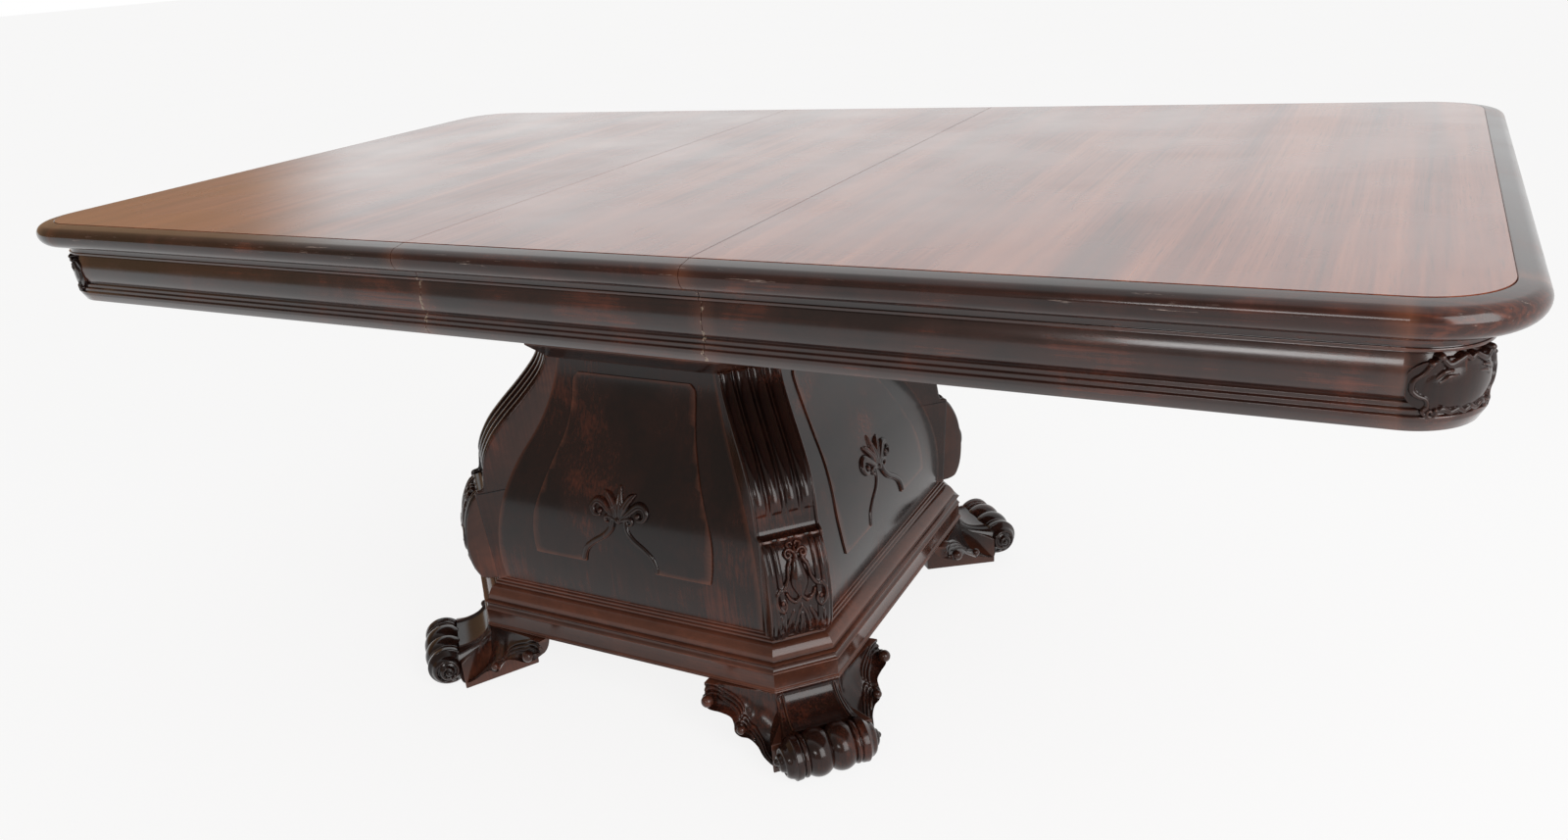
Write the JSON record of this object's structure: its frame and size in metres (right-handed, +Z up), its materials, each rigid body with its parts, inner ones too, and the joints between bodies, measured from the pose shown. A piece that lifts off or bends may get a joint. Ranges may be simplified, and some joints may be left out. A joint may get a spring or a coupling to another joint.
{
  "type": "pedestal extension dining table",
  "caption": "Extension dining table with a moulded rounded-corner top on a carved bombe square pedestal with scroll feet; both halves slide apart on wooden slides around a lift-out leaf.",
  "frame": {"origin": "on the floor under the middle of the top with its leaf in", "axes": "+X along the length of the top towards the right half, +Y from the front to the back, +Z up"},
  "size_m": [1.914, 1.054, 0.76],
  "materials": {
    "polished_top": "red-brown polished boards, grain across the length",
    "dark_wood": "very dark red-brown varnished mouldings and carving",
    "slide_wood": "plain unpolished wood",
    "screw_steel": "plain steel"
  },
  "bodies": {
    "pedestal": {"fixed_slides": "slide_wood", "slide_bearers": "slide_wood", "head_boards": "slide_wood", "capital": "dark_wood", "panel_front": "dark_wood", "panel_right": "dark_wood", "panel_back": "dark_wood", "panel_left": "dark_wood", "raised_fields": "dark_wood", "palmettes": "dark_wood", "corner_post_front_right": "dark_wood", "corner_post_back_right": "dark_wood", "corner_post_back_left": "dark_wood", "corner_post_front_left": "dark_wood", "carved_block_front_right": "dark_wood", "carved_block_back_right": "dark_wood", "carved_block_back_left": "dark_wood", "carved_block_front_left": "dark_wood", "plinth_sides": "dark_wood", "plinth_corners": "dark_wood", "base_board": "slide_wood", "foot_bolts": "screw_steel", "foot_front_right": "dark_wood", "foot_back_right": "dark_wood", "foot_back_left": "dark_wood", "foot_front_left": "dark_wood", "foot_roll_front_right": "dark_wood", "foot_roll_back_right": "dark_wood", "foot_roll_back_left": "dark_wood", "foot_roll_front_left": "dark_wood"},
    "left_half": {"left_top": "polished_top", "left_slides": "slide_wood", "left_slide_screws": "screw_steel", "left_joint_pins": "slide_wood", "left_edge_sides": "dark_wood", "left_edge_end": "dark_wood", "left_edge_corners": "dark_wood", "left_apron_sides": "dark_wood", "left_apron_end": "dark_wood", "left_apron_corners": "dark_wood", "left_glue_blocks": "slide_wood", "left_corner_carvings": "dark_wood"},
    "right_half": {"right_top": "polished_top", "right_slides": "slide_wood", "right_slide_screws": "screw_steel", "right_joint_pins": "slide_wood", "right_edge_sides": "dark_wood", "right_edge_end": "dark_wood", "right_edge_corners": "dark_wood", "right_apron_sides": "dark_wood", "right_apron_end": "dark_wood", "right_apron_corners": "dark_wood", "right_glue_blocks": "slide_wood", "right_corner_carvings": "dark_wood"},
    "leaf": {"leaf_top": "polished_top", "leaf_edges": "dark_wood", "leaf_aprons": "dark_wood"}
  },
  "joints": [
    {"name": "left_half_slide", "type": "slide", "parent": "pedestal", "child": "left_half", "axis": [-1, 0, 0], "range_m": [0, 0.25]},
    {"name": "right_half_slide", "type": "slide", "parent": "pedestal", "child": "right_half", "axis": [1, 0, 0], "range_m": [0, 0.25]},
    {"name": "leaf_lift", "type": "slide", "parent": "pedestal", "child": "leaf", "axis": [0, 0, 1], "range_m": [0, 0.3]}
  ]
}
